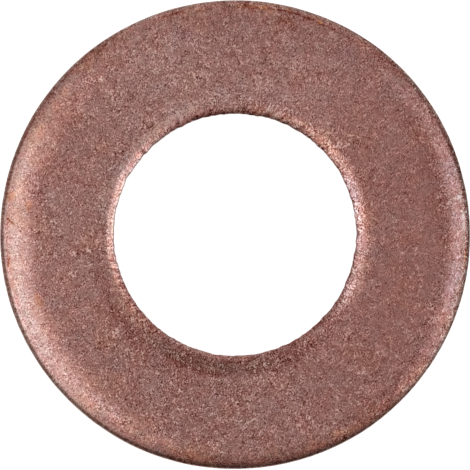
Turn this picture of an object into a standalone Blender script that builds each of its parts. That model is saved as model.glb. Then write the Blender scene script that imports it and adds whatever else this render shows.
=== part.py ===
"""Copper crush washer: one flat sealing ring punched from soft copper sheet.

Metres, +Z up. The origin is the centre of the lower face, on the washer's axis, so the
washer lies on the plane z = 0 with the side that the punch entered facing up.

A punched ring is not a plain tube. On the punch side both edges are drawn down into broad,
smooth rolls. Below each roll comes a short upright land that the tool wiped smooth, then a
torn band that draws back a little, and last the burr side, whose corner was tumbled off.
"""

import math

import bpy

# The ring
OUTSIDE_DIAMETER = 0.0199
BORE_DIAMETER = 0.01025
THICKNESS = 0.0015

# Rolls on the upper face: width is measured along the face, depth down the wall
RIM_ROLL_WIDTH = 0.0016
RIM_ROLL_DEPTH = 0.00036
BORE_ROLL_WIDTH = 0.0008
BORE_ROLL_DEPTH = 0.00014

# Torn band and tumbled corner, alike on the rim and in the bore
TORN_BAND_TOP = 0.0005
TORN_BAND_SETBACK = 0.00005
TUMBLED_RADIUS = 0.0001

# Fineness of the curves
TURN_STEPS = 128
RIM_ROLL_STEPS = 9
BORE_ROLL_STEPS = 7
TUMBLED_STEPS = 3
MERGE_DISTANCE = 0.00001

COPPER_COLOUR = (0.60, 0.33, 0.28, 1.0)
COPPER_ROUGHNESS = 0.42


def clear_scene():
    for obj in list(bpy.data.objects):
        bpy.data.objects.remove(obj, do_unlink=True)


def copper():
    material = bpy.data.materials.new("annealed_copper")
    material.use_nodes = True
    shader = material.node_tree.nodes["Principled BSDF"]
    shader.inputs["Base Color"].default_value = COPPER_COLOUR
    shader.inputs["Roughness"].default_value = COPPER_ROUGHNESS
    shader.inputs["Metallic"].default_value = 1.0
    return material


def quarter_turn(steps):
    """Angles from 0 to 90 degrees, both ends included."""
    return [math.pi / 2 * step / steps for step in range(steps + 1)]


def punched_edge(wall_radius, into_metal, roll_width, roll_depth, roll_steps):
    """One edge of the section as (radius, height) points, from the upper face to the lower.

    into_metal is -1 on the rim, where the metal lies towards the axis, and 1 in the bore.
    """
    face_end = wall_radius + into_metal * roll_width
    roll = [
        (
            face_end - into_metal * roll_width * math.sin(angle),
            THICKNESS - roll_depth * (1 - math.cos(angle)),
        )
        for angle in quarter_turn(roll_steps)
    ]
    land_foot = (wall_radius, TORN_BAND_TOP)
    corner_centre = wall_radius + into_metal * (TORN_BAND_SETBACK + TUMBLED_RADIUS)
    corner = [
        (
            corner_centre - into_metal * TUMBLED_RADIUS * math.cos(angle),
            TUMBLED_RADIUS * (1 - math.sin(angle)),
        )
        for angle in quarter_turn(TUMBLED_STEPS)
    ]
    return [*roll, land_foot, *corner]


def ring_section():
    """The closed section, down the rim first and then up the bore."""
    rim = punched_edge(
        OUTSIDE_DIAMETER / 2, -1, RIM_ROLL_WIDTH, RIM_ROLL_DEPTH, RIM_ROLL_STEPS
    )
    bore = punched_edge(
        BORE_DIAMETER / 2, 1, BORE_ROLL_WIDTH, BORE_ROLL_DEPTH, BORE_ROLL_STEPS
    )
    return rim + bore[::-1]


def turned(name, section, material):
    """A closed section at +X, turned once about Z."""
    corners = [(radius, 0.0, height) for radius, height in section]
    edges = [(i, (i + 1) % len(corners)) for i in range(len(corners))]
    mesh = bpy.data.meshes.new(name)
    mesh.from_pydata(corners, edges, [])
    mesh.materials.append(material)
    obj = bpy.data.objects.new(name, mesh)
    screw = obj.modifiers.new("turn", "SCREW")
    screw.axis = "Z"
    screw.angle = 2 * math.pi
    screw.steps = screw.render_steps = TURN_STEPS
    screw.use_merge_vertices = True
    screw.merge_threshold = MERGE_DISTANCE
    screw.use_smooth_shade = True
    return obj


def main():
    clear_scene()
    parts = bpy.data.collections.new("copper_crush_washer")
    bpy.context.scene.collection.children.link(parts)
    parts.objects.link(turned("crush_washer", ring_section(), copper()))


main()
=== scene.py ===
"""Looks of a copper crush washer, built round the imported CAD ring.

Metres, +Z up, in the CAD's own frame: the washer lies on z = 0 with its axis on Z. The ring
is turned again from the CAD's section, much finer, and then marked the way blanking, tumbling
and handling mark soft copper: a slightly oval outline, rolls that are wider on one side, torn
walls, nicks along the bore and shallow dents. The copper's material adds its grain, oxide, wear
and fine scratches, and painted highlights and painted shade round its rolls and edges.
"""

import math
import random

import bmesh
import bpy
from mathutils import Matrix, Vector, kdtree, noise


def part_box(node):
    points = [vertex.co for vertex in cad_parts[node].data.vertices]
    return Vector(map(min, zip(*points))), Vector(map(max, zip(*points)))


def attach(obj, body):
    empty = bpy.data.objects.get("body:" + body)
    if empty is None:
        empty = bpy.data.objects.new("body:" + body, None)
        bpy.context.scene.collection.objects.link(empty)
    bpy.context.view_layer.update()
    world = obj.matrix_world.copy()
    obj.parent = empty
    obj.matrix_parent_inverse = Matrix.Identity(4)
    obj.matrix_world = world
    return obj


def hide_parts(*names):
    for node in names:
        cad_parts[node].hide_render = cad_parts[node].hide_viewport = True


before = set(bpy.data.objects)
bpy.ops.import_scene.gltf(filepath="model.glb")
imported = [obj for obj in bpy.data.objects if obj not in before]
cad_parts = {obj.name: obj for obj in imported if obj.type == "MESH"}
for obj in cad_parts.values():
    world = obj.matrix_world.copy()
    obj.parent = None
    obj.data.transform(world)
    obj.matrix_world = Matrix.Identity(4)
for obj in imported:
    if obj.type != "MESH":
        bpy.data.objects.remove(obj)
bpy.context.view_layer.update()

NODE = "crush_washer"
MM = 0.001
HAIR = 0.001 * MM

# The ring, as the CAD has it
RIM_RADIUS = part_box(NODE)[1].x
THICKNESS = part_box(NODE)[1].z
BORE_RADIUS = min(math.hypot(v.co.x, v.co.y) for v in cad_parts[NODE].data.vertices)
MIDDLE_RADIUS = (BORE_RADIUS + RIM_RADIUS) / 2
RIM_ROLL_WIDTH = 1.60 * MM
RIM_ROLL_DEPTH = 0.36 * MM
BORE_ROLL_WIDTH = 0.80 * MM
BORE_ROLL_DEPTH = 0.14 * MM
TORN_BAND_TOP = 0.50 * MM
TORN_BAND_SETBACK = 0.05 * MM
TUMBLED_RADIUS = 0.10 * MM

# Fineness of the dressed ring
TURN_STEPS = 720
RIM_ROLL_STEPS = 30
BORE_ROLL_STEPS = 16
TUMBLED_STEPS = 4
FACE_CUTS = 38
LAND_CUTS = 3
TORN_CUTS = 5
UNDERSIDE_CUTS = 12
MERGE_DISTANCE = 0.0001 * MM

# How the blanking left it. Each swing is (times round, size, angle of its high side in degrees)
RIM_SWINGS = (
    (0, 0.003 * MM, 0),
    (1, 0.006 * MM, 149),
    (2, 0.016 * MM, 20),
    (3, 0.004 * MM, -59),
    (4, 0.006 * MM, -40),
    (5, 0.004 * MM, -22),
    (7, 0.004 * MM, -9),
)
BORE_SWINGS = (
    (0, 0.017 * MM, 0),
    (1, 0.005 * MM, 162),
    (2, 0.005 * MM, 38),
    (3, 0.012 * MM, 43),
    (4, 0.010 * MM, 0),
    (5, 0.004 * MM, 22),
    (6, 0.003 * MM, -18),
    (7, 0.004 * MM, 9),
)

# How the rolls lean to one side, as swings in shares of their width, and wander
RIM_ROLL_LEAN = ((1, 0.22, 135),)
BORE_ROLL_LEAN = ((1, 0.25, 75),)
ROLL_WANDER = 0.10
BORE_LIP_SHARPNESS = 0.75

# How rough the edges and the torn band are
BORE_RAGGEDNESS = 0.050 * MM
RIM_RAGGEDNESS = 0.010 * MM
RAGGED_CYCLES = (9, 34, 90, 170)
LAND_FOOT_WANDER = 0.16 * MM
LAND_FOOT_RIPPLE = 0.4 * LAND_FOOT_WANDER
TEAR_DEPTH = 0.035 * MM
TEAR_CELLS = 6500
TEAR_DRAWN_UP = 0.6

# Noise round the ring: swells in a turn, seed
RIM_ROLL_SWELLS = (14, 3.0)
BORE_ROLL_SWELLS = (12, 7.0)
LAND_FOOT_RIPPLES = (95, 31.0)
LAND_FOOT_SWELLS = 24
LAND_FOOT_SEED = 29.0
BORE_EDGE_SEED = 11.0
RIM_EDGE_SEED = 17.0

# Marks of tumbling and handling. Nicks lie along the bore's lip, by shares of its roll's depth
MARKS_SEED = 20
NICKS = 90
NICK_RADIUS = (0.035 * MM, 0.085 * MM)
NICK_DEPTH = (0.010 * MM, 0.034 * MM)
NICK_INSET = 0.04
NICK_LEVEL = (0.5, 1.3)
DENTS = 260
DENT_RADIUS = (0.10 * MM, 0.34 * MM)
DENT_DEPTH = (0.0008 * MM, 0.0030 * MM)
DENT_LEVELS = (0.0, THICKNESS, THICKNESS)
SWELL = 0.0012 * MM
SWELL_CELLS = 900
SWELL_FINE_CELLS = 2300


def quarter_turn(steps):
    """Angles from 0 to 90 degrees, both ends included."""
    return [math.pi / 2 * step / steps for step in range(steps + 1)]


def roll_fall(share, sharpness):
    """How far a roll has dropped at a share of its width: a quarter ellipse, or one that stays
    flatter and meets the wall at a sharper lip."""
    ellipse = 1 - math.sqrt(1 - share**2)
    return ellipse + (share**3 - ellipse) * sharpness


def punched_edge(wall_radius, into_metal, roll_width, roll_depth, roll_steps, sharpness):
    """One edge of the section as (radius, height) points, from the upper face to the lower.

    into_metal is -1 on the rim, where the metal lies towards the axis, and 1 in the bore.
    """
    face_end = wall_radius + into_metal * roll_width
    points = [
        (
            face_end - into_metal * roll_width * share,
            THICKNESS - roll_depth * roll_fall(share, sharpness),
        )
        for share in map(math.sin, quarter_turn(roll_steps))
    ]
    points.append((wall_radius, TORN_BAND_TOP))
    corner = wall_radius + into_metal * (TORN_BAND_SETBACK + TUMBLED_RADIUS)
    points += [
        (
            corner - into_metal * TUMBLED_RADIUS * math.cos(angle),
            TUMBLED_RADIUS * (1 - math.sin(angle)),
        )
        for angle in quarter_turn(TUMBLED_STEPS)
    ]
    return points


def section_wire(shape):
    """The closed section at +X as a wire, its straight runs cut for the marks to come."""
    rim = punched_edge(RIM_RADIUS, -1, RIM_ROLL_WIDTH, RIM_ROLL_DEPTH, RIM_ROLL_STEPS, 0.0)
    bore = punched_edge(
        BORE_RADIUS, 1, BORE_ROLL_WIDTH, BORE_ROLL_DEPTH, BORE_ROLL_STEPS, BORE_LIP_SHARPNESS
    )
    corners = [shape.verts.new((radius, 0.0, height)) for radius, height in rim + bore[::-1]]
    edges = [
        shape.edges.new((corner, corners[(index + 1) % len(corners)]))
        for index, corner in enumerate(corners)
    ]
    face = len(edges) - 1
    cuts = {
        RIM_ROLL_STEPS: LAND_CUTS,
        RIM_ROLL_STEPS + 1: TORN_CUTS,
        len(rim) - 1: UNDERSIDE_CUTS,
        face - BORE_ROLL_STEPS - 2: TORN_CUTS,
        face - BORE_ROLL_STEPS - 1: LAND_CUTS,
        face: FACE_CUTS,
    }
    for index, number in cuts.items():
        bmesh.ops.subdivide_edges(shape, edges=[edges[index]], cuts=number)


def swing(swings, angle):
    """The sum of the swings at an angle round the ring."""
    return sum(
        size * math.cos(times * angle - times * math.radians(high))
        for times, size, high in swings
    )


def round_noise(angle, swells, seed):
    """Smooth noise round the ring, with about this many swells in a turn."""
    reach = swells / (2 * math.pi)
    return noise.noise(Vector((reach * math.cos(angle), reach * math.sin(angle), seed)))


def ragged(angle, seed):
    """The edge's roughness from coarse to fine, between about -1 and 1."""
    return sum(round_noise(angle, cycles, seed + cycles) for cycles in RAGGED_CYCLES) / 2


def between(value, low, high):
    """How far value is on its way from low to high, from 0 to 1."""
    return min(max((value - low) / (high - low), 0.0), 1.0)


def carried(value, old, new):
    """value, moved as the stops in old move to those in new."""
    for old_low, old_high, new_low, new_high in zip(old, old[1:], new, new[1:]):
        if value <= old_high:
            break
    return new_low + (value - old_low) * (new_high - new_low) / (old_high - old_low)


def polar(vertex):
    """The vertex's distance from the axis, and its angle round it."""
    return math.hypot(vertex.co.x, vertex.co.y), math.atan2(vertex.co.y, vertex.co.x)


def tear_walls(shape):
    """Lets the foot of each land wander, and roughens the band below it as a fracture does."""
    torn = shape.verts.layers.float.new("torn")
    land_top = THICKNESS - RIM_ROLL_DEPTH
    for vertex in shape.verts:
        radius, angle = polar(vertex)
        into_metal = 1 if radius < MIDDLE_RADIUS else -1
        wall = BORE_RADIUS if into_metal > 0 else RIM_RADIUS
        height = vertex.co.z
        inset = abs(radius - wall)
        if inset > TORN_BAND_SETBACK + TUMBLED_RADIUS or height > land_top:
            continue
        if height < TORN_BAND_TOP - HAIR:
            vertex[torn] = 1.0
        if height > TUMBLED_RADIUS:
            swells = round_noise(angle, LAND_FOOT_SWELLS, LAND_FOOT_SEED * into_metal)
            ripples = round_noise(angle, *LAND_FOOT_RIPPLES)
            foot = TORN_BAND_TOP + LAND_FOOT_WANDER * swells + LAND_FOOT_RIPPLE * ripples
            vertex.co.z = carried(
                height, (TUMBLED_RADIUS, TORN_BAND_TOP, land_top), (TUMBLED_RADIUS, foot, land_top)
            )
        if vertex[torn]:
            spot = Vector((vertex.co.x, vertex.co.y, vertex.co.z * TEAR_DRAWN_UP))
            pit = max(0.5 + noise.noise(spot * TEAR_CELLS), 0.0)
            depth = TEAR_DEPTH * pit * between(height, 0.0, 2 * TUMBLED_RADIUS)
            moved = 1 + into_metal * depth / radius
            vertex.co.x *= moved
            vertex.co.y *= moved


def blank_unevenly(shape):
    """Widens and narrows the rolls round the ring, and puts its outline and bore out of round."""
    even = (
        BORE_RADIUS,
        BORE_RADIUS + BORE_ROLL_WIDTH,
        RIM_RADIUS - RIM_ROLL_WIDTH,
        RIM_RADIUS,
    )
    for vertex in shape.verts:
        radius, angle = polar(vertex)
        lean = swing(RIM_ROLL_LEAN, angle)
        bore_lean = swing(BORE_ROLL_LEAN, angle)
        rim_roll = 1 + lean + ROLL_WANDER * round_noise(angle, *RIM_ROLL_SWELLS)
        bore_roll = 1 + bore_lean + ROLL_WANDER * round_noise(angle, *BORE_ROLL_SWELLS)
        bore_shift = swing(BORE_SWINGS, angle) + BORE_RAGGEDNESS * ragged(angle, BORE_EDGE_SEED)
        rim_shift = swing(RIM_SWINGS, angle) + RIM_RAGGEDNESS * ragged(angle, RIM_EDGE_SEED)
        uneven = (
            BORE_RADIUS + bore_shift,
            BORE_RADIUS + BORE_ROLL_WIDTH * bore_roll,
            RIM_RADIUS - RIM_ROLL_WIDTH * rim_roll,
            RIM_RADIUS + rim_shift,
        )
        if vertex.co.z > TORN_BAND_TOP / 2:
            moved = carried(radius, even, uneven)
            if radius > RIM_RADIUS - RIM_ROLL_WIDTH:
                upper = between(vertex.co.z, TORN_BAND_TOP, THICKNESS - RIM_ROLL_DEPTH)
                vertex.co.z += (THICKNESS - vertex.co.z) * -lean * upper
        else:
            share = between(radius, BORE_RADIUS, RIM_RADIUS)
            moved = radius + bore_shift * (1 - share) + rim_shift * share
        vertex.co.x *= moved / radius
        vertex.co.y *= moved / radius


def pressed(depths, tree, centre, radius, depth):
    """Notes a round dent of this radius and depth in the depths of the vertices it meets."""
    for _, index, distance in tree.find_range(centre, radius):
        bowl = depth * (1 - (distance / radius) ** 2) ** 2
        depths[index] = max(depths[index], bowl)


def nick_lip(rng, depths, tree):
    for _ in range(NICKS):
        angle = rng.uniform(0, 2 * math.pi)
        lip = BORE_RADIUS + swing(BORE_SWINGS, angle) + rng.uniform(0.0, NICK_INSET) * MM
        height = THICKNESS - BORE_ROLL_DEPTH * rng.uniform(*NICK_LEVEL)
        centre = Vector((lip * math.cos(angle), lip * math.sin(angle), height))
        pressed(depths, tree, centre, rng.uniform(*NICK_RADIUS), rng.uniform(*NICK_DEPTH))


def dent_faces(rng, depths, tree):
    for _ in range(DENTS):
        angle = rng.uniform(0, 2 * math.pi)
        radius = math.sqrt(rng.uniform(BORE_RADIUS**2, RIM_RADIUS**2))
        height = rng.choice(DENT_LEVELS)
        centre = Vector((radius * math.cos(angle), radius * math.sin(angle), height))
        pressed(depths, tree, centre, rng.uniform(*DENT_RADIUS), rng.uniform(*DENT_DEPTH))


def mark_by_use(shape):
    """Nicks along the bore, shallow dents on both faces and a faint swell all over."""
    rng = random.Random(MARKS_SEED)
    shape.verts.ensure_lookup_table()
    shape.verts.index_update()
    tree = kdtree.KDTree(len(shape.verts))
    for vertex in shape.verts:
        tree.insert(vertex.co, vertex.index)
    tree.balance()
    depths = [0.0] * len(shape.verts)
    nick_lip(rng, depths, tree)
    dent_faces(rng, depths, tree)
    shape.normal_update()
    for vertex, depth in zip(shape.verts, depths):
        swell = noise.noise(vertex.co * SWELL_CELLS)
        swell += 0.5 * noise.noise(vertex.co * SWELL_FINE_CELLS)
        if vertex.co.z < TUMBLED_RADIUS:
            swell = -abs(swell)
        vertex.co += vertex.normal * (swell * SWELL - depth)


def new_object(name, shape):
    """The finished shape as an object of this name in the scene."""
    mesh = bpy.data.meshes.new(name)
    shape.to_mesh(mesh)
    shape.free()
    made = bpy.data.objects.new(name, mesh)
    bpy.context.scene.collection.objects.link(made)
    return made


def dressed_ring():
    shape = bmesh.new()
    section_wire(shape)
    bmesh.ops.spin(
        shape,
        geom=shape.verts[:] + shape.edges[:],
        cent=(0, 0, 0),
        axis=(0, 0, 1),
        angle=2 * math.pi,
        steps=TURN_STEPS,
        use_merge=True,
    )
    bmesh.ops.remove_doubles(shape, verts=shape.verts, dist=MERGE_DISTANCE)
    bmesh.ops.recalc_face_normals(shape, faces=shape.faces)
    tear_walls(shape)
    blank_unevenly(shape)
    mark_by_use(shape)
    for face in shape.faces:
        face.smooth = True
    return new_object("dressed_washer", shape)


class Wire:
    """A node's output. A sum written with it adds the Math nodes that work it out."""

    def __init__(self, finish, socket):
        self.finish = finish
        self.socket = socket

    def maths(self, operation, *values):
        return self.finish.node(
            "ShaderNodeMath", {"operation": operation}, dict(enumerate(values))
        )

    def __add__(self, other):
        return self.maths("ADD", self, other)

    def __sub__(self, other):
        return self.maths("SUBTRACT", self, other)

    def __rsub__(self, other):
        return self.maths("SUBTRACT", other, self)

    def __mul__(self, other):
        return self.maths("MULTIPLY", self, other)

    def __truediv__(self, other):
        return self.maths("DIVIDE", self, other)

    def __pow__(self, other):
        return self.maths("POWER", self, other)

    def __abs__(self):
        return self.maths("ABSOLUTE", self)

    __radd__ = __add__
    __rmul__ = __mul__


class Finish:
    """One material and the nodes that make it up. Lengths in it are in millimetres."""

    def __init__(self, name):
        self.material = bpy.data.materials.new(name)
        self.material.use_nodes = True
        self.nodes = self.material.node_tree.nodes
        self.links = self.material.node_tree.links
        self.shader = self.nodes["Principled BSDF"]

    def feed(self, socket, value):
        if isinstance(value, Wire):
            self.links.new(value.socket, socket)
        else:
            socket.default_value = value

    def node(self, kind, settings=None, inputs=None, output=0):
        made = self.nodes.new(kind)
        for name, value in (settings or {}).items():
            if name == "stops":
                ramp = made.color_ramp.elements
                while len(ramp) < len(value):
                    ramp.new(1.0)
                for element, (place, colour) in zip(ramp, value):
                    element.position = place
                    element.color = colour
            else:
                setattr(made, name, value)
        for name, value in (inputs or {}).items():
            self.feed(made.inputs[name], value)
        return Wire(self, made.outputs[output])

    def noise(self, place, cells, detail=0.0, roughness=0.5):
        """Noise about zero, mostly within -1 and 1, with this many cells to the millimetre."""
        found = self.node(
            "ShaderNodeTexNoise",
            {"noise_dimensions": "3D"},
            {"Vector": place, "Scale": cells, "Detail": detail, "Roughness": roughness},
        )
        return (found - 0.5) * 2.0

    def ease(self, value, low, high):
        """0 up to low, 1 from high on, and a smooth step between. High may be below low."""
        return self.node(
            "ShaderNodeMapRange",
            {"interpolation_type": "SMOOTHSTEP", "clamp": False},
            {"Value": value, "From Min": low, "From Max": high},
        )

    def crisp(self, value, reach):
        """value pushed towards -1 and 1, which it has at -reach and reach."""
        return self.ease(value, 0.0, reach) - self.ease(value, 0.0, -reach)

    def spread(self, place, scale=(1, 1, 1), turn=0.0, shift=(0, 0, 0), tilt=0.0):
        """place, turned about Z and stretched, so that a pattern on it lies another way. A tilt
        keeps the rows of a fine noise from lying along the face."""
        return self.node(
            "ShaderNodeMapping",
            {"vector_type": "TEXTURE"},
            {
                "Vector": place,
                "Location": shift,
                "Rotation": (math.radians(tilt), 0, math.radians(turn)),
                "Scale": scale,
            },
        )

    def warped(self, place, cells, reach):
        """place, pushed about smoothly by up to reach, so that straight patterns on it bend."""
        push = self.node(
            "ShaderNodeTexNoise",
            {"noise_dimensions": "3D"},
            {"Vector": place, "Scale": cells, "Detail": 1.0},
            output="Color",
        )
        return self.blend(push, (reach, reach, reach), place)

    def blend(self, amount, vector, base):
        """base with so much of a vector added, part by part."""
        return self.node(
            "ShaderNodeVectorMath", {"operation": "MULTIPLY_ADD"}, {0: amount, 1: vector, 2: base}
        )

    def joined(self, x, y, z):
        return self.node("ShaderNodeCombineXYZ", None, {"X": x, "Y": y, "Z": z})


class Spot:
    """The place on the washer that a shader works on, in millimetres from the axis."""

    def __init__(self, f):
        self.f = f
        corner = f.node("ShaderNodeTexCoord", output="Object")
        self.place = f.spread(corner, (MM, MM, MM))
        axes = {"Vector": self.place}
        self.x = f.node("ShaderNodeSeparateXYZ", None, axes, output="X")
        self.y = f.node("ShaderNodeSeparateXYZ", None, axes, output="Y")
        self.z = f.node("ShaderNodeSeparateXYZ", None, axes, output="Z")
        self.radius = (self.x * self.x + self.y * self.y) ** 0.5
        self.side = self.x / self.radius
        self.back = self.y / self.radius

    def sector(self, azimuth, half_width):
        """1 at an azimuth, and 0 from half_width degrees either side of it."""
        aim = math.radians(azimuth)
        facing = self.side * math.cos(aim) + self.back * math.sin(aim)
        return self.f.ease(facing, math.cos(math.radians(half_width)), 1.0)

    def around(self, base, changes):
        """base, changed round the ring by each (azimuth, half width, change)."""
        for azimuth, half_width, change in changes:
            base = self.sector(azimuth, half_width) * change + base
        return base

    def band(self, radius, inner, outer, soft):
        """1 between two radii and 0 outside them, with soft edges."""
        return self.f.ease(radius, inner - soft, inner + soft) * self.f.ease(
            radius, outer + soft, outer - soft
        )

    def patch(self, x, y, half_length, half_width, lie, fray):
        """1 in the middle of an ellipse on the face, fading to 0 at its frayed edge."""
        along_x, along_y = math.cos(math.radians(lie)), math.sin(math.radians(lie))
        east, north = self.x - x, self.y - y
        along = (east * along_x + north * along_y) / half_length
        across = (north * along_x - east * along_y) / half_width
        return self.f.ease(along * along + across * across + fray, *FRAYED_EDGE)

    def round(self, radius, along, slant=0.0):
        """Coordinates that follow the ring at a radius, drawn out along it or across it.

        A pattern drawn out across the ring leans by slant radians for each millimetre.
        """
        lie = self.f.joined(self.side * radius, self.back * radius, self.radius * along)
        if not slant:
            return lie
        return self.f.node(
            "ShaderNodeVectorRotate",
            {"rotation_type": "Z_AXIS"},
            {"Vector": lie, "Angle": self.radius * slant},
        )

    def upright(self, radius, drawn_out):
        """Coordinates round a wall at this radius, drawn out up and down."""
        return self.f.joined(self.side * radius, self.back * radius, self.z / drawn_out)


# The copper's shades, as a screen shows them under the studio's even light, and that light
MEAN_COPPER = (148, 106, 99)
GREYING = 1.16
EVEN_LIGHT = (0.620, 0.595, 0.580)
DARKEST_LEVEL = 3
PALEST_COLOUR = 0.97
SHADE_SPAN = 96.0
SHADE_STOPS = 17
WARMER = (0.04, -0.05, -0.15)
REDDER = (0.05, -0.06, -0.04)

# Zones by radius in millimetres, from where each begins to where it is full
INNER_FACE = (8.9, 8.6)
GLARE = (8.4, 8.9)
RIM_ROLL = (8.6, 9.5)
RIM_EDGE = (9.50, 9.66)
RIM_CREST = (9.58, 9.75)
RIM_CORNER = (9.76, 9.86)
RIM_WALL = (9.80, 9.90)
RIM_BURR = (9.35, 9.75)
BORE_SHOULDER = (6.1, 5.6)
BORE_ROLL = (5.75, 5.25)
BORE_LIP = (5.36, 5.20)
BORE_WALL = (5.26, 5.20)
BORE_BURR = (5.75, 5.35)

# Zones by height, and across the face from left to right, in the same way
UPPER_SIDE = (0.9, 1.2)
UNDERSIDE = (0.30, 0.05)
WALL_TOP = (1.38, 1.10)
LAND_FOOT = (0.1, 0.3)
RIGHT_SIDE = (2.0, 8.0)
LEFT_SIDE = (-3.0, -7.0)

# Patterns of noise: cells to the millimetre, how many finer layers, and how strong they are
FINE = (22.0, 0.0, 0.5)
GRAIN = (15.0, 1.0, 0.6)
STROKES = (15.0, 1.0, 0.5)
DAPPLE = (6.0, 1.0, 0.6)
MOTTLE = (2.0, 2.0, 0.6)
BLOTCH = (0.30, 2.0, 0.5)
PITS = (8.0, 1.0, 0.5)
SPECKS = (12.0, 1.0, 0.5)
BORE_DRAG = (11.0, 2.0, 0.6)
RIM_DRAG = (9.0, 2.0, 0.6)
LIP_NICKS = (7.0, 1.0, 0.5)
GRAIN_PATCHES = (4.5, 0.0, 0.5)
STROKE_PATCHES = (0.9, 0.0, 0.5)
WARM_PATCHES = (0.9, 1.0, 0.5)
RED_PATCHES = (2.2, 1.0, 0.5)
DARK_STREAKS = (6.0, 2.0, 0.6)
SCORES = (11.0, 3.0, 0.65)
TEAR = (7.0, 3.0, 0.6)
SCUFFS = (0.6, 1.0, 0.5)

# How the patterns lie: stretched, turned and tilted in degrees on the face, and round the ring by
# radius in millimetres, how far they are drawn out, and slant
FINE_STRETCH = (1.0, 1.35, 1.0)
FINE_TURN = 27
FINE_TILT = 35
GRAIN_TURN = 50
GRAIN_TILT = 30
STROKE_STRETCH = (1.0, 5.4, 1.0)
STROKE_TURNS = (15, 75, 135)
STROKE_SHIFT = (7.0, 3.0)
STROKE_BEND = (2.2, 0.3)
SCUFF_STRETCH = (0.3, 8.0, 1.0)
SCUFF_TURN = 62
SCUFF_SHIFT = (3, 1, 0)
BORE_DRAG_LIE = (5.3, 0.3, 0.07)
RIM_DRAG_LIE = (9.7, 0.3, 0.03)
LIP_NICK_LIE = (5.3, 0.6)
DARK_STREAK_LIE = (3.0, 1.0)
DARK_STREAK_BAND = (9.56, 9.78, 0.05)
SCORE_LIE = (9.9, 14.0)
TEAR_LIE = (9.9, 2.5)

# Levels of those patterns, from where something begins to show to where it is full
GLINT_LEVEL = (0.22, 0.75)
PIT_LEVEL = (-0.34, -0.70)
SPECK_LEVEL = (-0.10, -0.45)
LIP_NICK_LEVEL = (-0.15, -0.5)
STROKE_PATCH_LEVEL = (-0.35, 0.35)
DARK_STREAK_LEVEL = (0.0, 0.45)
SCUFF_LEVEL = (0.035, 0.0)
SCUFFED_PATCHES = (-0.15, 0.15)
DRAG_REACH = 0.35
FRAYED_EDGE = (1.0, 0.1)

# How much lighter each pattern makes the copper at its strongest, in steps of the screen's 255
FINE_TONE = 77.0
GRAIN_TONE = 25.0
STROKE_TONE = 33.0
GLINT_TONE = 50.0
PIT_TONE = -20.0
SPECK_TONE = -41.0
DAPPLE_TONE = 17.0
MOTTLE_TONE = 21.0
BLOTCH_TONE = 9.0
FACE_TONE = 2.5
RIM_DRAG_TONE = 9.0
RIM_ROLL_TONE = 13.0
BORE_DRAG_TONE = 28.0
BORE_ROLL_TONE = 4.0
LIP_NICK_TONE = -46.0
DARK_STREAK_TONE = -32.0
LAND_TONE = 16.0
SCORE_TONE = 60.0
TORN_TONE = -12.0
TEAR_TONE = 60.0
BURR_TONE = 14.0
SCUFF_TONE = 44.0
UNDERSIDE_TONE = -5.0

# Shares by which the zones calm the grain, and the strokes in it. Below zero they roughen it
RIGHT_CALM = 0.34
LEFT_CALM = 0.16
CREST_CALM = -0.20
SHOULDER_CALM = -0.18
BORE_CALM = 0.45
RIM_CALM = 0.18
GLARE_CALM = 0.3
GLARE_STROKE_CALM = 0.7
UNDERSIDE_STROKE_CALM = 0.55
UNDERSIDE_RELIEF_CALM = 0.7

# How much of the two tints the copper takes
WARM_PATCH_WARMTH = 1.2
RED_PATCH_REDNESS = 0.8
CLOUD_REDNESS = 0.02
RIM_CORNER_REDNESS = -1.2
DARK_STREAK_WARMTH = 1.2
TORN_WARMTH = 0.8

# How rough the surface is, and how deep its finest relief is against the grain's
MEAN_ROUGHNESS = 0.31
GRAIN_ROUGHNESS = 0.06
LAND_SMOOTHNESS = 0.07
TORN_ROUGHNESS = 0.12
BORE_SMOOTHNESS = 0.10
RELIEF_DEPTH = 0.0007 * MM
BORE_DRAG_RELIEF = 8.0
RIM_DRAG_RELIEF = 2.0
SCORE_RELIEF = 5.0
TEAR_RELIEF = 12.0

# Sides of the ring: azimuth and half width in degrees
GLARE_SIDE = (188, 66)
CALM_BORE_SIDE = (172, 44)
SMOOTH_BORE_SIDE = (165, 80)
DARK_STREAK_SIDE = (84, 62)

# Changes round the ring: azimuth and half width in degrees, then the change
GLARE_STROKE_CHANGES = ((218, 30, -0.4),)
RIM_CALM_CHANGES = ((270, 70, -0.15),)
BORE_DRAG_CHANGES = (
    (208, 36, 20.0),
    (60, 40, 5.0),
    (5, 50, -15.0),
    (270, 50, -12.0),
    (165, 45, -9.0),
)
LIP_NICK_CHANGES = ((160, 50, 34.0),)
RIM_CORNER_CHANGES = ((30, 50, -1.0),)
FACE_REDNESS = ((10, 110, 0.5),)
# Painted tints of light: the greyer stretches at the left and right of the bore, the rim's roll
# and the rim's edge paint the paler tint of highlights, and the redder lower rim edge paints the
# deeper tint of a dimly lit edge
BORE_REDNESS = ((125, 45, 1.0), (206, 32, 0.9), (180, 20, -0.6))
SHOULDER_REDNESS = ((258, 36, -1.6),)
RIM_ROLL_REDNESS = ((186, 42, -0.8),)
RIM_EDGE_REDNESS = ((262, 45, 1.1), (354, 34, -1.5))
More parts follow.
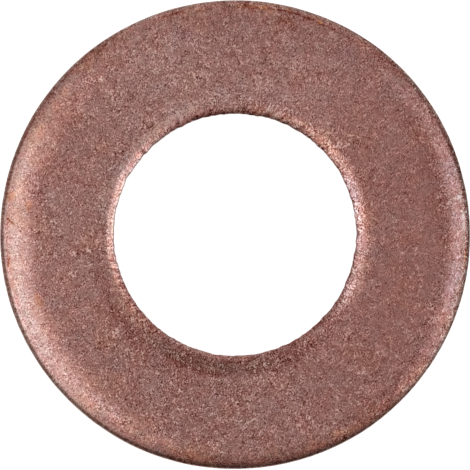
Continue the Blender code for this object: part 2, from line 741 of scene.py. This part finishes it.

# Lighter and darker stretches round the ring: partly real wear and oxide, partly painted light.
# The lighter rows in the bore, most at the left, and along the rim's crest paint highlights, and
# the darker rows on the rim's outermost edge paint shade. Columns: azimuth and half width in
# degrees, from and to radius in millimetres, lighter by, warmer by
PAINTED_LIGHT_AND_SMUDGES = (
    (146, 52, 5.22, 5.74, 18, 0.2),
    (140, 40, 5.38, 5.76, 12, -0.2),
    (140, 20, 5.28, 5.38, -7, 0.0),
    (140, 24, 5.68, 5.90, -7, 0.0),
    (192, 24, 5.22, 5.44, 18, 0.4),
    (166, 56, 0.0, 5.24, 46, -0.4),
    (140, 22, 0.0, 5.22, 36, 0.0),
    (122, 24, 0.0, 5.70, 14, 0.6),
    (2, 16, 5.10, 5.30, 12, -0.2),
    (5, 28, 5.36, 5.80, -8, 0.0),
    (340, 12, 5.20, 5.30, -9, 0.2),
    (320, 12, 5.22, 5.34, 9, 0.0),
    (358, 44, 0.0, 5.54, -2, -0.8),
    (208, 24, 5.20, 5.52, -2, 0.5),
    (206, 22, 5.10, 5.22, -13, 0.0),
    (220, 14, 5.50, 5.72, -8, 0.0),
    (280, 18, 5.28, 5.40, -8, 0.0),
    (172, 16, 5.12, 5.22, 3, 0.9),
    (164, 34, 5.10, 5.34, 0, 0.5),
    (218, 14, 5.10, 5.24, 0, -0.6),
    (176, 22, 5.32, 5.58, -18, -0.2),
    (210, 34, 5.36, 5.74, 19, 0.5),
    (250, 36, 0.0, 5.28, 18, 0.0),
    (264, 48, 5.25, 6.02, -22, 0.0),
    (300, 18, 5.20, 5.42, 10, 0.0),
    (342, 22, 5.42, 5.95, 9, 0.0),
    (62, 40, 5.25, 5.60, 0, 0.8),
    (70, 26, 5.44, 5.72, -8, 0.3),
    (88, 60, 5.40, 5.90, 6, 0.0),
    (92, 34, 0.0, 5.26, -8, 0.3),
    (312, 26, 0.0, 5.75, -16, 0.0),
    (0, 60, 5.50, 5.95, 0, 0.5),
    (110, 24, 5.52, 6.20, 7, 0.0),
    (208, 30, 5.62, 6.20, -12, 0.2),
    (68, 26, 6.10, 6.75, 6, 0.0),
    (232, 32, 5.85, 6.70, -7, 0.0),
    (85, 75, 5.80, 8.90, 9, 0.0),
    (0, 70, 5.80, 9.10, 1, 0.2),
    (150, 30, 8.20, 9.30, -8, 0.0),
    (341, 16, 8.86, 9.12, -8, 0.0),
    (20, 30, 8.50, 9.12, -7, 0.0),
    (156, 20, 8.50, 8.95, 8, 0.1),
    (182, 30, 8.30, 8.80, -9, 0.0),
    (130, 26, 8.65, 9.15, -6, 0.1),
    (140, 18, 9.25, 9.65, 0, 1.0),
    (195, 32, 9.15, 9.60, 2, -0.7),
    (180, 24, 9.05, 9.68, -3, 0.6),
    (198, 12, 9.68, 9.78, 10, 0.0),
    (120, 16, 9.60, 9.74, -12, 0.0),
    (248, 28, 8.65, 9.55, -8, 0.2),
    (240, 26, 9.20, 9.90, 3, 0.5),
    (180, 26, 9.55, 9.70, -8, 0.0),
    (160, 14, 9.05, 9.75, 10, 0.4),
    (188, 36, 9.74, 9.82, 15, 0.0),
    (180, 12, 9.76, 9.84, 10, 0.0),
    (160, 12, 9.70, 9.79, 26, 0.2),
    (240, 16, 9.70, 9.79, 16, 0.2),
    (238, 28, 9.62, 9.79, 16, 0.0),
    (221, 14, 9.72, 9.84, 12, 0.0),
    (92, 60, 9.48, 9.80, -4, 0.3),
    (290, 46, 9.40, 9.85, 0, 0.9),
    (277, 36, 9.05, 9.85, -4, 0.3),
    (322, 20, 9.62, 9.84, -4, 0.4),
    (318, 26, 9.12, 9.70, -20, 0.0),
    (321, 10, 9.77, 9.84, 12, 0.0),
    (30, 44, 9.46, 9.76, -6, 0.0),
    (180, 12, 9.63, 9.72, -9, 0.0),
    (280, 16, 9.34, 9.52, -8, 0.0),
    (220, 17, 6.20, 9.00, 0, 0.4),
    (2, 28, 9.30, 9.76, -3, -0.9),
    (342, 22, 9.60, 9.86, -21, -0.1),
    (300, 18, 9.62, 9.90, -10, 0.2),
    (200, 120, 9.81, 9.88, -9, 0.0),
    (20, 14, 9.79, 9.88, -12, 0.0),
    (140, 14, 9.85, 9.93, 12, 0.0),
    (140, 20, 9.45, 9.62, 6, 0.0),
    (352, 40, 9.79, 9.92, -16, -0.6),
    (270, 150, 9.80, 10.2, -6, 0.0),
    (20, 45, 9.75, 10.2, -26, -0.4),
    (148, 36, 9.76, 10.2, -18, 0.0),
    (110, 80, 9.82, 10.2, -15, 0.0),
    (62, 22, 9.88, 10.2, -12, -0.6),
    (182, 16, 9.86, 10.2, -14, 0.0),
    (236, 22, 9.84, 10.2, 26, 0.0),
)

# A row along an edge keeps a sharp outline. One on the face wavers and is softer. The
# mottling changes its warmth
BORE_EDGE_ENDS = 5.4
RIM_EDGE_BEGINS = 9.6
EDGE_SOFTNESS = 0.04
FACE_SOFTNESS = 0.14
MOTTLE_WAVER = 0.10
BLOTCH_WAVER = 0.15
DAPPLE_FRAY = 0.7
GRAIN_FRAY = 0.5
PAINTED_LIGHT_AND_SMUDGE_WARMTH = 0.8
MOTTLED_WARMTH = 1.8

# Single marks on the face: centre, half length and half width in millimetres, lie in degrees,
# lighter by, warmer by. The three broad warm patches on the left rim are a painted reflection: the
# orange tint at the edge of the highlight there
MARKS = (
    (-9.53, 0.58, 0.34, 0.050, -38, -50, 2.0),
    (-9.60, -1.20, 0.42, 0.060, 82, -34, 2.0),
    # Painted reflection: the orange tint at the edge of the left highlight, in this row and the
    # next two
    (-9.54, 1.62, 0.34, 0.26, 60, 0, 1.8),
    (-8.73, 1.24, 0.32, 0.22, 80, 4, 1.6),
    (-8.30, -2.80, 0.42, 0.24, 120, 4, 1.6),
    (-5.06, -7.70, 0.26, 0.045, -29, 42, 0.0),
    (-5.02, -5.36, 0.90, 0.55, 20, -5, -0.7),
    (-0.56, -9.22, 0.24, 0.045, -19, 36, 0.0),
    (1.40, 5.34, 0.20, 0.040, 58, 52, 0.0),
    (1.56, 5.38, 0.22, 0.040, 56, 46, 0.0),
    (1.74, 5.34, 0.20, 0.040, 52, 50, 0.0),
    (1.92, 5.28, 0.18, 0.040, 50, 44, 0.0),
    (9.72, -1.00, 0.60, 0.055, 84, 8, 2.4),
    (9.35, 1.54, 0.20, 0.040, 0, 30, 0.0),
    (-7.30, 2.85, 0.20, 0.12, 30, -24, 0.0),
    (2.17, 9.09, 0.50, 0.24, -15, -22, 0.6),
    (-2.07, 8.50, 0.40, 0.22, 10, -18, -0.8),
    (0.60, 9.66, 0.60, 0.10, -4, -18, 1.4),
    (1.20, 9.62, 0.22, 0.08, -6, 10, 3.0),
    (1.75, 9.53, 0.45, 0.075, -12, -38, 0.6),
    (2.25, 9.50, 0.20, 0.08, -14, 10, 2.6),
    (2.45, 9.38, 0.42, 0.080, -14, -36, 0.8),
    (3.05, 9.17, 0.42, 0.070, -18, -38, 0.6),
    (3.58, 8.99, 0.16, 0.070, -20, 18, 3.0),
    (3.66, 8.90, 0.34, 0.070, -21, -30, 0.6),
    (4.06, 8.74, 0.30, 0.080, -24, -30, 0.8),
)


def to_linear(level):
    """A screen's level, from 0 to 255, as linear light by the sRGB curve."""
    level = level / 255
    return level / 12.92 if level <= 0.04045 else ((level + 0.055) / 1.055) ** 2.4


def copper_shade(tone):
    """The copper's own colour where it looks so many screen steps lighter than its mean."""
    steps = (tone, tone * GREYING, tone * GREYING)
    levels = [max(level + step, DARKEST_LEVEL) for level, step in zip(MEAN_COPPER, steps)]
    shade = [to_linear(level) / light for level, light in zip(levels, EVEN_LIGHT)]
    fit = min(1.0, PALEST_COLOUR / max(shade))
    return (*[part * fit for part in shade], 1.0)


def shade_stops():
    places = [index / (SHADE_STOPS - 1) for index in range(SHADE_STOPS)]
    return [(place, copper_shade(SHADE_SPAN * (2 * place - 1))) for place in places]


def felt(f, place):
    """Short bent strokes that lie three ways, each in its own patches."""
    bent = f.warped(place, *STROKE_BEND)
    total = 0.0
    for index, turn in enumerate(STROKE_TURNS):
        shift = (STROKE_SHIFT[0] * index, STROKE_SHIFT[1] * index, 0)
        lie = f.spread(bent, STROKE_STRETCH, turn, shift)
        where = f.ease(f.noise(f.spread(place, shift=shift), *STROKE_PATCHES), *STROKE_PATCH_LEVEL)
        total = f.noise(lie, *STROKES) * where + total
    return total


class WornCopperWithPaintedLight:
    """Annealed copper as blanking, tumbling, oxide and handling have left it, with painted
    highlights and shade.

    tone is how much lighter it looks than its mean, in steps of the screen's 255. warmth and
    redness are how much of the WARMER and REDDER tints it takes.
    """

    def __init__(self):
        self.f = Finish("annealed_copper_worn_with_painted_light")
        self.spot = Spot(self.f)
        self.lay_patterns()
        self.find_zones()
        self.tone = self.tumbled_face()
        self.upper = self.f.ease(self.spot.z, *UPPER_SIDE)
        self.draw_rolls()
        self.redden()
        self.add_dark_streaks()
        self.add_wear_and_painted_light()
        self.break_walls()
        self.rub_underside()
        self.show_colour()
        self.show_gloss()
        self.show_relief()

    def lay_patterns(self):
        """The grain from fine to broad, and the strokes, pits and drag marks."""
        f, spot, place = self.f, self.spot, self.spot.place
        drawn_down = f.spread(place, FINE_STRETCH)
        self.fine = f.noise(f.spread(drawn_down, turn=FINE_TURN, tilt=FINE_TILT), *FINE)
        self.grain = f.noise(f.spread(place, turn=GRAIN_TURN, tilt=GRAIN_TILT), *GRAIN)
        self.strokes = felt(f, place)
        self.dapple = f.noise(place, *DAPPLE)
        self.mottle = f.noise(place, *MOTTLE)
        self.blotch = f.noise(place, *BLOTCH)
        self.glint = f.ease(self.strokes, *GLINT_LEVEL)
        self.pits = f.ease(f.noise(place, *PITS), *PIT_LEVEL)
        self.specks = f.ease(f.noise(place, *SPECKS), *SPECK_LEVEL)
        self.bore_drag = f.noise(spot.round(*BORE_DRAG_LIE), *BORE_DRAG)
        self.rim_drag = f.noise(spot.round(*RIM_DRAG_LIE), *RIM_DRAG)
        self.lip_nicks = f.ease(f.noise(spot.round(*LIP_NICK_LIE), *LIP_NICKS), *LIP_NICK_LEVEL)

    def find_zones(self):
        f, spot, radius = self.f, self.spot, self.spot.radius
        self.rim_roll = f.ease(radius, *RIM_ROLL)
        self.bore_roll = f.ease(radius, *BORE_ROLL)
        self.bore_shoulder = f.ease(radius, *BORE_SHOULDER)
        self.lip = f.ease(radius, *BORE_LIP)
        self.glare = spot.sector(*GLARE_SIDE) * f.ease(radius, *GLARE)
        self.below = f.ease(spot.z, *UNDERSIDE)

    def coarseness(self):
        """The face is calmer to the right, and roughest on its edges and in the bore."""
        f, spot, radius = self.f, self.spot, self.spot.radius
        calm = f.ease(spot.x, *RIGHT_SIDE) * RIGHT_CALM + f.ease(spot.x, *LEFT_SIDE) * LEFT_CALM
        coarse = 1.0 - calm * f.ease(radius, *INNER_FACE) - f.ease(radius, *RIM_CREST) * CREST_CALM
        coarse = coarse - self.bore_roll * spot.sector(*CALM_BORE_SIDE) * BORE_CALM
        coarse = coarse - self.bore_shoulder * SHOULDER_CALM
        return coarse - self.rim_roll * spot.around(RIM_CALM, RIM_CALM_CHANGES)

    def tumbled_face(self):
        """The tone of the grain and the clouds in it, flatter where the left rim shines."""
        f, spot = self.f, self.spot
        coarse = self.coarseness()
        calm = self.glare * spot.around(GLARE_STROKE_CALM, GLARE_STROKE_CHANGES)
        calm = calm + self.below * UNDERSIDE_STROKE_CALM
        strokes = self.strokes * STROKE_TONE + self.glint * GLINT_TONE
        worn = strokes * (1.0 - calm) + self.specks * self.glare * SPECK_TONE
        grain = self.fine * FINE_TONE + self.grain * GRAIN_TONE + worn + self.pits * PIT_TONE
        grain = grain * (f.noise(spot.place, *GRAIN_PATCHES) + 1.0)
        self.clouds = self.dapple * DAPPLE_TONE + self.mottle * MOTTLE_TONE
        texture = (grain + self.clouds) * coarse
        texture = texture * (1.0 - self.glare * GLARE_CALM)
        return texture + self.blotch * BLOTCH_TONE + FACE_TONE

    def draw_rolls(self):
        """Drag marks across the rolls, and nicks along the bore's lip."""
        f, spot = self.f, self.spot
        rim_drag = f.crisp(self.rim_drag, DRAG_REACH) * RIM_DRAG_TONE + RIM_ROLL_TONE
        bore_drag = f.crisp(self.bore_drag, DRAG_REACH)
        bore_drag = bore_drag * spot.around(BORE_DRAG_TONE, BORE_DRAG_CHANGES) + BORE_ROLL_TONE
        nicked = self.lip * self.lip_nicks * spot.around(LIP_NICK_TONE, LIP_NICK_CHANGES)
        self.tone = self.tone + self.rim_roll * rim_drag * self.upper
        self.tone = self.tone + (self.bore_roll * bore_drag + nicked) * self.upper

    def redden(self):
        """Redder and greyer stretches of each zone, some of them painted tints of highlights and
        of dim edges on the rolls, and warm and red patches all over.
        """
        f, spot = self.f, self.spot
        rim_edge = f.ease(spot.radius, *RIM_EDGE)
        rolls = 1.0 + self.rim_roll + self.bore_roll
        corner = spot.around(RIM_CORNER_REDNESS, RIM_CORNER_CHANGES)
        self.warmth = f.noise(spot.place, *WARM_PATCHES) * WARM_PATCH_WARMTH
        redness = f.noise(spot.place, *RED_PATCHES) * rolls * RED_PATCH_REDNESS
        redness = redness + self.clouds * CLOUD_REDNESS + f.ease(spot.radius, *RIM_CORNER) * corner
        for zone, changes in (
            (1.0 - self.bore_roll, FACE_REDNESS),
            (self.bore_roll, BORE_REDNESS),
            (self.bore_shoulder - self.bore_roll, SHOULDER_REDNESS),
            (self.rim_roll - rim_edge, RIM_ROLL_REDNESS),
            (rim_edge, RIM_EDGE_REDNESS),
        ):
            redness = zone * spot.around(0.0, changes) + redness
        self.redness = redness

    def add_dark_streaks(self):
        """Dark brown streaks along the back of the rim."""
        f, spot = self.f, self.spot
        dark_streaks = f.ease(f.noise(spot.round(*DARK_STREAK_LIE), *DARK_STREAKS), *DARK_STREAK_LEVEL)
        dark_streaks = dark_streaks * spot.band(spot.radius, *DARK_STREAK_BAND) * spot.sector(*DARK_STREAK_SIDE)
        dark_streaks = dark_streaks * self.upper
        self.tone = self.tone + dark_streaks * DARK_STREAK_TONE
        self.warmth = self.warmth + dark_streaks * DARK_STREAK_WARMTH

    def add_wear_and_painted_light(self):
        """The smudges of wear and oxide and the painted highlights and shade round the ring, with
        patchy warmth and wavering outlines, and the single marks.
        """
        spot = self.spot
        patchy = PAINTED_LIGHT_AND_SMUDGE_WARMTH + self.mottle * MOTTLED_WARMTH
        wavering = spot.radius + self.mottle * MOTTLE_WAVER + self.blotch * BLOTCH_WAVER
        fray = self.dapple * DAPPLE_FRAY + self.grain * GRAIN_FRAY
        painted_light_and_smudges = painted_light_and_smudge_warmth = marked = mark_warmth = 0.0
        # Rows in the bore and along the rim's crest paint highlights; rows on the rim's outermost
        # edge paint shade
        for azimuth, half_width, inner, outer, lighter, warmer in PAINTED_LIGHT_AND_SMUDGES:
            if outer < BORE_EDGE_ENDS or inner > RIM_EDGE_BEGINS:
                where = spot.band(spot.radius, inner, outer, EDGE_SOFTNESS)
            else:
                where = spot.band(wavering, inner, outer, FACE_SOFTNESS)
            where = where * spot.sector(azimuth, half_width)
            painted_light_and_smudges = where * lighter + painted_light_and_smudges
            painted_light_and_smudge_warmth = where * warmer + painted_light_and_smudge_warmth
        for x, y, half_length, half_width, lie, lighter, warmer in MARKS:
            where = spot.patch(x, y, half_length, half_width, lie, fray)
            marked = where * lighter + marked
            mark_warmth = where * warmer + mark_warmth
        self.tone = self.tone + (painted_light_and_smudges + marked) * self.upper
        self.warmth = self.warmth + (painted_light_and_smudge_warmth * patchy + mark_warmth) * self.upper

    def break_walls(self):
        """The land is wiped smooth with upright scores, and the torn band is coarse and dull."""
        f, spot = self.f, self.spot
        below_roll = f.ease(spot.z, *WALL_TOP)
        wall = f.ease(spot.radius, *RIM_WALL) + f.ease(spot.radius, *BORE_WALL)
        torn = f.node("ShaderNodeAttribute", {"attribute_name": "torn"}, output="Fac")
        self.torn = torn * wall
        self.land = wall * below_roll * (1.0 - self.torn) * f.ease(spot.z, *LAND_FOOT)
        self.scores = f.noise(spot.upright(*SCORE_LIE), *SCORES)
        self.tear = f.noise(spot.upright(*TEAR_LIE), *TEAR)
        self.tone = self.tone + self.land * (self.scores * SCORE_TONE + LAND_TONE)
        self.tone = self.tone + self.torn * (self.tear * TEAR_TONE + TORN_TONE)
        self.warmth = self.warmth + self.torn * TORN_WARMTH

    def rub_underside(self):
        """Rubbed bright along its two burr corners, with a few long scratches."""
        f, spot = self.f, self.spot
        under = self.below * (1.0 - self.torn)
        burr = f.ease(spot.radius, *RIM_BURR) + f.ease(spot.radius, *BORE_BURR)
        drawn_out = f.spread(spot.place, SCUFF_STRETCH, SCUFF_TURN, SCUFF_SHIFT)
        scuffs = f.ease(abs(f.noise(drawn_out, *SCUFFS)), *SCUFF_LEVEL)
        scuffs = scuffs * f.ease(self.mottle + self.blotch, *SCUFFED_PATCHES)
        rubbed = burr * BURR_TONE + scuffs * SCUFF_TONE + UNDERSIDE_TONE
        self.tone = self.tone + under * rubbed

    def show_colour(self):
        f = self.f
        along = (self.tone + SHADE_SPAN) / (2 * SHADE_SPAN)
        shade = f.node("ShaderNodeValToRGB", {"stops": shade_stops()}, {"Fac": along})
        tint = f.blend(self.redness, REDDER, (1, 1, 1))
        tint = f.blend(self.warmth, WARMER, tint)
        colour = f.node("ShaderNodeVectorMath", {"operation": "MULTIPLY"}, {0: shade, 1: tint})
        f.feed(f.shader.inputs["Base Color"], colour)
        f.feed(f.shader.inputs["Metallic"], 1.0)

    def show_gloss(self):
        roughness = MEAN_ROUGHNESS - self.grain * GRAIN_ROUGHNESS - self.land * LAND_SMOOTHNESS
        roughness = roughness + self.torn * TORN_ROUGHNESS
        smooth = self.bore_roll * self.spot.sector(*SMOOTH_BORE_SIDE)
        roughness = roughness - smooth * BORE_SMOOTHNESS
        self.f.feed(self.f.shader.inputs["Roughness"], roughness)

    def show_relief(self):
        """The finest relief, less than a thousandth of a millimetre deep in the grain."""
        f = self.f
        drag = self.bore_roll * self.upper * self.bore_drag * BORE_DRAG_RELIEF
        drag = drag + self.rim_roll * self.upper * self.rim_drag * RIM_DRAG_RELIEF
        relief = self.grain + self.strokes * (1.0 - self.below * UNDERSIDE_RELIEF_CALM) + drag
        relief = relief + self.land * self.scores * SCORE_RELIEF
        relief = relief + self.torn * self.tear * TEAR_RELIEF
        bump = f.node(
            "ShaderNodeBump", None, {"Strength": 1.0, "Distance": RELIEF_DEPTH, "Height": relief}
        )
        f.feed(f.shader.inputs["Normal"], bump)


def copper():
    return WornCopperWithPaintedLight().f.material


# The table that the washer lies on. Its glow is white to the camera, and dim to all else
TABLE_SIZE = 0.6
TABLE_DROP = 0.02 * MM
TABLE_COLOUR = (0.8, 0.8, 0.8, 1.0)
TABLE_ROUGHNESS = 0.9
TABLE_GLOW = 0.85
TABLE_GLOW_SEEN = 0.95
TABLE_GLOW_UNSEEN = 0.05

# The softboxes: azimuth, angle from straight up, distance, width, height, strength, colour
SOFTBOXES = {
    "left_softbox": (193, 30, 0.40, 0.252, 0.295, 1.38, (0.90, 1.0, 1.01)),
    "right_softbox": (350, 40.5, 0.40, 0.250, 0.310, 1.04, (0.89, 1.0, 1.03)),
}

# The room's light by how far the look is towards the back: direction, strength and colour
ROOM = (
    (-1.00, 0.06, (1.0, 0.72, 0.62)),
    (-0.72, 0.09, (1.0, 0.72, 0.62)),
    (-0.48, 0.30, (1.0, 0.77, 0.69)),
    (-0.10, 0.33, (1.0, 0.83, 0.77)),
    (1.00, 0.55, (1.0, 0.86, 0.81)),
)

# The camera looks straight down from far off. Its frame is this wide at the face's edge
LENS = 400
SENSOR_WIDTH = 36
FRAME_WIDTH = 19.92 * MM
FRAME_HEIGHT = 1.14 * MM
CAMERA_X = -0.011 * MM
CAMERA_Y = -0.014 * MM


def white_table():
    """Plain white to the camera, and dim enough not to light the washer's walls."""
    f = Finish("white_table")
    seen = f.node("ShaderNodeLightPath", output="Is Camera Ray")
    f.feed(f.shader.inputs["Base Color"], TABLE_COLOUR)
    f.feed(f.shader.inputs["Roughness"], TABLE_ROUGHNESS)
    f.feed(f.shader.inputs["Emission Color"], seen * TABLE_GLOW_SEEN + TABLE_GLOW_UNSEEN)
    f.feed(f.shader.inputs["Emission Strength"], TABLE_GLOW)
    return f.material


def table():
    shape = bmesh.new()
    bmesh.ops.create_grid(shape, x_segments=1, y_segments=1, size=TABLE_SIZE)
    bmesh.ops.translate(shape, verts=shape.verts, vec=(0, 0, -TABLE_DROP))
    top = new_object("table", shape)
    top.data.materials.append(white_table())


def softbox(name, azimuth, zenith, distance, width, height, strength, colour):
    """A soft rectangular lamp that faces the washer; width runs across, height up the sky."""
    around, up = math.radians(azimuth), math.radians(zenith)
    outwards = Vector(
        (math.cos(around) * math.sin(up), math.sin(around) * math.sin(up), math.cos(up))
    )
    lamp = bpy.data.lights.new(name, "AREA")
    lamp.shape = "RECTANGLE"
    lamp.size = width
    lamp.size_y = height
    lamp.energy = strength * math.pi * width * height
    lamp.color = colour
    box = bpy.data.objects.new(name, lamp)
    box.location = outwards * distance
    box.rotation_mode = "QUATERNION"
    box.rotation_quaternion = (-outwards).to_track_quat("-Z", "Y")
    box.visible_camera = False
    bpy.context.scene.collection.objects.link(box)


def room():
    """A dim room that is lighter behind the washer."""
    world = bpy.data.worlds.new("room")
    bpy.context.scene.world = world
    world.use_nodes = True
    nodes, links = world.node_tree.nodes, world.node_tree.links
    look = nodes.new("ShaderNodeTexCoord")
    axes = nodes.new("ShaderNodeSeparateXYZ")
    span = nodes.new("ShaderNodeMapRange")
    ramp = nodes.new("ShaderNodeValToRGB")
    links.new(look.outputs["Generated"], axes.inputs["Vector"])
    links.new(axes.outputs["Y"], span.inputs["Value"])
    span.inputs["From Min"].default_value = -1.0
    links.new(span.outputs["Result"], ramp.inputs["Fac"])
    stops = ramp.color_ramp.elements
    while len(stops) < len(ROOM):
        stops.new(1.0)
    for stop, (toward_back, strength, colour) in zip(stops, ROOM):
        stop.position = (toward_back + 1) / 2
        stop.color = (*[part * strength for part in colour], 1.0)
    links.new(ramp.outputs["Color"], nodes["Background"].inputs["Color"])


def camera():
    lens = bpy.data.cameras.new("camera")
    lens.lens = LENS
    lens.sensor_width = SENSOR_WIDTH
    lens.clip_start = 0.01
    lens.clip_end = 2.0
    eye = bpy.data.objects.new("camera", lens)
    eye.location = (
        CAMERA_X,
        CAMERA_Y,
        FRAME_HEIGHT + FRAME_WIDTH * lens.lens / lens.sensor_width,
    )
    bpy.context.scene.collection.objects.link(eye)
    bpy.context.scene.camera = eye


ring = dressed_ring()
ring.data.materials.append(copper())
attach(ring, "root")
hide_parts(NODE)
table()
for name, make in SOFTBOXES.items():
    softbox(name, *make)
room()
camera()
bpy.context.scene.view_settings.view_transform = "Standard"
